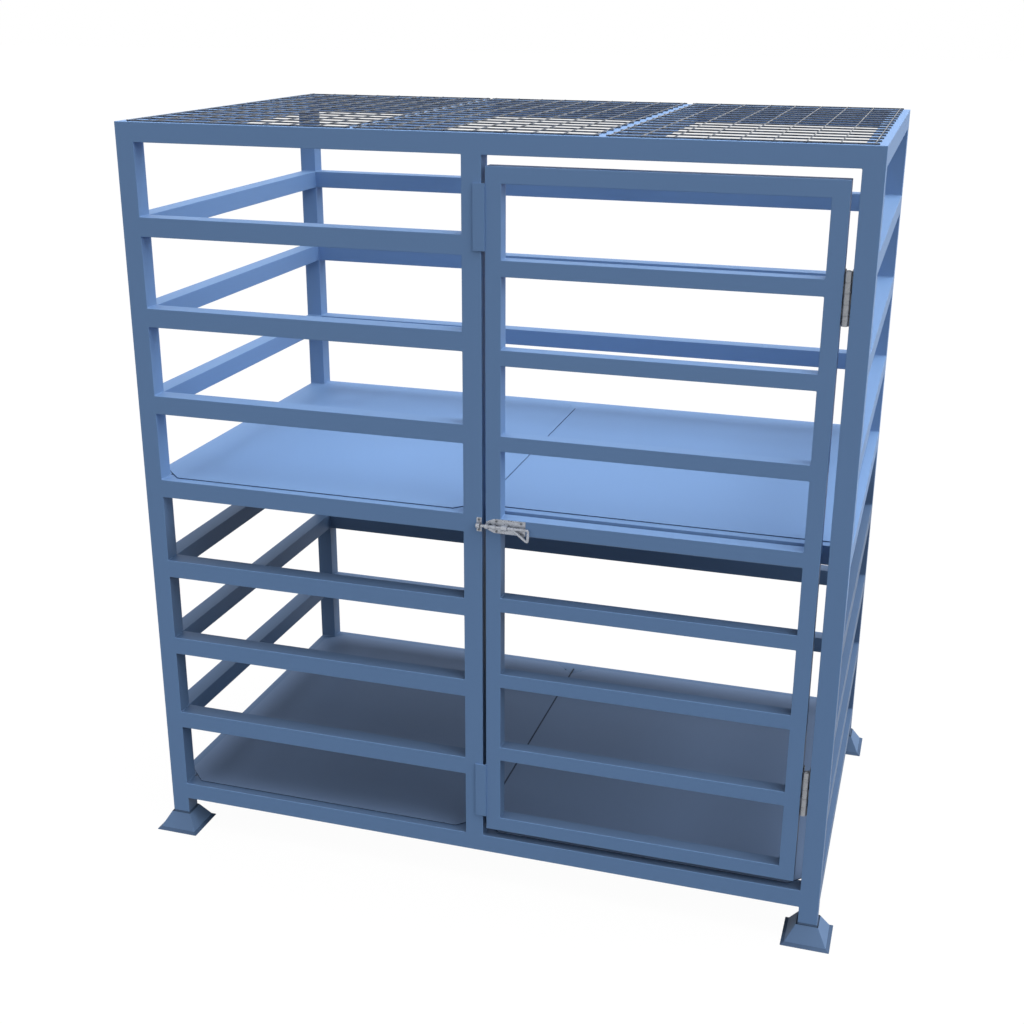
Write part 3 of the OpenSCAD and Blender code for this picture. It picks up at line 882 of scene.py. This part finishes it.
def make_screws(node, body):
    """The screws of a node: one column of two, or two columns."""
    low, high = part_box(node)
    columns = [low.x + SCREW_HEAD]
    if high.x - low.x > 4 * SCREW_HEAD:
        columns.append(high.x - SCREW_HEAD)
    screws = bmesh.new()
    recesses = bmesh.new()
    for x in columns:
        for z in (low.z + SCREW_HEAD, high.z - SCREW_HEAD):
            add_screw(screws, x, low.y, z, high.y - low.y)
            add_recess(recesses, x, low.y, z)
    add_piece(f"{node}_heads", screws, SCREW_ZINC, body, (node,))
    add_piece(f"{node}_recesses", recesses, RECESS_SHADE, body)


# The bolt, necked where its collar grips it, with its bent pull loop

BOLT = 8 * MM
NECK = 6.5 * MM
NECK_ROOM = 0.4 * MM
TIP_CHAMFER = 1.5 * MM
TIP_ROUND = 0.1 * MM
TIP_LENGTH = 2.0 * MM
BOLT_END = 1.0 * MM
BOLT_END_CHAMFER = 0.5 * MM
LOOP_ROD = 7 * MM
LOOP_BEND = 6 * MM
LOOP_LENGTH = 41.5 * MM
LOOP_DROP = 33 * MM
LOOP_LEAN = 2.5 * MM
LOOP_OVERLAP = 1.0 * MM
BOLT_SMOOTH = 40.0


def bent_path(corners, bend, steps=6):
    """The points of a path with each inner corner rounded off."""
    points = [corners[0]]
    for before, corner, after in zip(corners, corners[1:], corners[2:]):
        start = corner + (before - corner).normalized() * bend
        end = corner + (after - corner).normalized() * bend
        for i in range(steps + 1):
            t = i / steps
            points.append(start * (1 - t) ** 2 + corner * 2 * t * (1 - t) + end * t * t)
    points.append(corners[-1])
    return points


def add_swept_rod(form, points, radius, flat, count=20):
    """A round rod along a path that lies in one plane; flat is that plane's normal."""
    rings = []
    for i, point in enumerate(points):
        ahead = points[min(i + 1, len(points) - 1)] - points[max(i - 1, 0)]
        across = ahead.normalized().cross(flat)
        rings.append(round_ring(point, flat, across, radius, count))
    add_rings(form, rings)


def make_bolt():
    low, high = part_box("latch_bolt")
    collar_low, collar_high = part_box("latch_collar")
    y = (low.y + high.y) / 2
    z = (collar_low.z + collar_high.z) / 2
    radius, neck = BOLT / 2, NECK / 2
    loop_end = high.x - LOOP_ROD / 2
    loop_start = loop_end - LOOP_LENGTH
    neck_start = collar_low.x - NECK_ROOM - low.x
    neck_end = collar_high.x + NECK_ROOM - low.x
    length = loop_start - low.x
    profile = [(0.0, radius - TIP_CHAMFER), (TIP_CHAMFER, radius - TIP_ROUND), (TIP_LENGTH, radius)]
    profile += [(neck_start, radius), (neck_start, neck), (neck_end, neck), (neck_end, radius)]
    profile += [(length - BOLT_END, radius), (length, radius - BOLT_END_CHAMFER)]
    form = bmesh.new()
    add_turned(form, (low.x, y, z), (1, 0, 0), profile)
    start = Vector((loop_start - LOOP_OVERLAP, y, z))
    top = Vector((loop_end, y, z))
    bottom = top + Vector((-LOOP_LEAN, 0.0, -LOOP_DROP))
    stop = Vector((loop_start - LOOP_ROD / 2, y, z))
    path = bent_path([start, top, bottom, stop], LOOP_BEND)
    add_swept_rod(form, path, LOOP_ROD / 2, unit(Y))
    replaced = ("latch_bolt",)
    add_piece("bolt_and_loop", form, LATCH_ZINC, "bolt", replaced, BOLT_SMOOTH)


# CAD nodes that keep their shape and get a finish and softened edges

SAME_POINT = 0.01 * MM
PLATE_EDGE = 0.6 * MM
LEAF_EDGE = 0.5 * MM
LATCH_EDGE = 0.35 * MM
COLLAR_EDGE = 0.4 * MM


def soften(node, material, width):
    """Rounds the edges of a CAD node's own mesh and gives it a finish."""
    piece = nodes[node]
    piece.data.materials.clear()
    piece.data.materials.append(material)
    weld = piece.modifiers.new("join_points", "WELD")
    weld.merge_threshold = SAME_POINT
    add_soft_edges(piece, width, segments=2, angle=30.0)
    weighted = piece.modifiers.new("weighted_normals", "WEIGHTED_NORMAL")
    weighted.keep_sharp = True


def dress_cad_nodes():
    for side in ("left", "right"):
        soften(f"shelf_plate_{side}", SHELF_PAINT, PLATE_EDGE)
        soften(f"floor_plate_{side}", FLOOR_SHADED_PAINT, PLATE_EDGE)
    for place in ("upper", "lower"):
        soften(f"door_stop_{place}", FRAME_PAINT, PLATE_EDGE)
        soften(f"hinge_{place}_frame_leaf", HINGE_ZINC, LEAF_EDGE)
        soften(f"hinge_{place}_door_leaf", HINGE_ZINC, LEAF_EDGE)
    soften("latch_plate", LATCH_ZINC, LATCH_EDGE)
    soften("latch_keeper", LATCH_ZINC, LATCH_EDGE)
    soften("latch_collar", LATCH_ZINC, COLLAR_EDGE)


# Light and backdrop; each level and side is a part of the direction looked in, from -1 to 1

TOP_GLOW = 5.1
SIDE_GLOW = 4.3
FRONT_GLOW = 0.50
RIGHT_GLOW = 0.9
FILL = 0.40
LOW_LEVEL = (0.46, 0.54)
HIGH_LEVEL = (0.80, 0.89)
REAR_SIDE = (-0.55, 0.15)
NOT_LEVEL = 0.0001


def seen_ray(tree):
    """One where a ray comes from the camera, a reflection or glass, else nought."""
    rays = add_node(tree, "ShaderNodeLightPath", (-900, 300)).outputs
    seen = calculate(tree, "MAXIMUM", (-700, 300), rays["Is Camera Ray"], rays["Is Glossy Ray"])
    return calculate(tree, "MAXIMUM", (-500, 300), seen, rays["Is Transmission Ray"])


def share_towards(tree, y_place, part, whole):
    """The square of a direction's part to one side, as a share of both its level parts squared."""
    squared = calculate(tree, "MULTIPLY", (-1300, y_place), part, part)
    return calculate(tree, "DIVIDE", (-700, y_place), squared, whole)


def make_world():
    """White to the eye; lit from overhead, from up on the right, and low in front and right."""
    world = bpy.data.worlds.new("soft_studio")
    bpy.context.scene.world = world
    world.use_nodes = True
    tree = world.node_tree
    tree.nodes.clear()
    x, y, z = split_place(tree, "Generated")
    high = ramp(tree, (-1500, 0), z, HIGH_LEVEL)
    above_low = ramp(tree, (-1500, -300), z, LOW_LEVEL)
    middle = calculate(tree, "SUBTRACT", (-1300, -200), above_low, high)
    low = calculate(tree, "SUBTRACT", (-1300, -400), 1.0, above_low)
    behind = ramp(tree, (-1500, 1100), y, REAR_SIDE)
    x_part = calculate(tree, "MULTIPLY", (-1300, 700), x, x)
    y_part = calculate(tree, "MULTIPLY", (-1300, 900), y, y)
    level_part = calculate(tree, "ADD", (-1100, 800), x_part, y_part)
    whole = calculate(tree, "MAXIMUM", (-900, 800), level_part, NOT_LEVEL)
    right_part = calculate(tree, "MAXIMUM", (-1500, 300), x, 0.0)
    front_part = calculate(tree, "MINIMUM", (-1500, 500), y, 0.0)
    to_right = share_towards(tree, 300, right_part, whole)
    to_front = share_towards(tree, 500, front_part, whole)
    glows = (
        (high, behind, TOP_GLOW),
        (to_right, middle, SIDE_GLOW),
        (to_front, low, FRONT_GLOW),
        (to_right, low, RIGHT_GLOW),
    )
    strength = FILL
    for i, (side, level, glow) in enumerate(glows):
        share = calculate(tree, "MULTIPLY", (-500, 200 * i), side, level)
        added = calculate(tree, "MULTIPLY", (-300, 200 * i), share, glow)
        strength = calculate(tree, "ADD", (-100, 200 * i), added, strength)
    light = add_node(tree, "ShaderNodeBackground", (500, 0), Color=WHITE)
    link(tree, strength, light.inputs["Strength"])
    backdrop = add_node(tree, "ShaderNodeBackground", (500, -200), Color=WHITE, Strength=1.0)
    mix = add_node(tree, "ShaderNodeMixShader", (700, 0))
    link(tree, seen_ray(tree), mix.inputs[0])
    link(tree, light.outputs[0], mix.inputs[1])
    link(tree, backdrop.outputs[0], mix.inputs[2])
    out = add_node(tree, "ShaderNodeOutputWorld", (900, 0))
    link(tree, mix.outputs[0], out.inputs["Surface"])


# Studio floor: white to the eye, with a faint shadow, and dark to the light that bounces

FLOOR_SIZE = 120.0
FLOOR_DROP = 0.5 * MM
FLOOR_BOUNCE = (0.03, 0.03, 0.03, 1.0)
FLOOR_SHADOW = (0.9, 0.9, 0.9, 1.0)
FLOOR_SHADOW_SHARE = 0.03


def make_floor():
    form = bmesh.new()
    bmesh.ops.create_grid(form, x_segments=1, y_segments=1, size=FLOOR_SIZE / 2)
    mesh = bpy.data.meshes.new("studio_floor")
    form.to_mesh(mesh)
    form.free()
    floor = bpy.data.objects.new("studio_floor", mesh)
    bpy.context.scene.collection.objects.link(floor)
    floor.location.z = -FLOOR_DROP
    material = bpy.data.materials.new("studio_floor")
    material.use_nodes = True
    tree = material.node_tree
    tree.nodes.clear()
    bounce = add_node(tree, "ShaderNodeBsdfDiffuse", (-500, 0), Color=FLOOR_BOUNCE)
    white = add_node(tree, "ShaderNodeEmission", (-500, -150), Color=WHITE, Strength=1.0)
    shadow = add_node(tree, "ShaderNodeBsdfDiffuse", (-500, -300), Color=FLOOR_SHADOW)
    seen = add_node(tree, "ShaderNodeMixShader", (-250, -200))
    seen.inputs[0].default_value = FLOOR_SHADOW_SHARE
    link(tree, white.outputs[0], seen.inputs[1])
    link(tree, shadow.outputs[0], seen.inputs[2])
    mix = add_node(tree, "ShaderNodeMixShader", (0, 0))
    link(tree, seen_ray(tree), mix.inputs[0])
    link(tree, bounce.outputs[0], mix.inputs[1])
    link(tree, seen.outputs[0], mix.inputs[2])
    out = add_node(tree, "ShaderNodeOutputMaterial", (250, 0))
    link(tree, mix.outputs[0], out.inputs["Surface"])
    mesh.materials.append(material)


set_camera()
bpy.context.scene.view_settings.view_transform = "Standard"
make_world()
make_floor()
make_tubes()
make_feet()
make_mesh_panels()
make_frame_welds()
make_door_welds()
make_seam_shade()
make_hinge_pins()
make_screws("latch_screws", "door")
make_screws("keeper_screws", "frame")
make_bolt()
dress_cad_nodes()
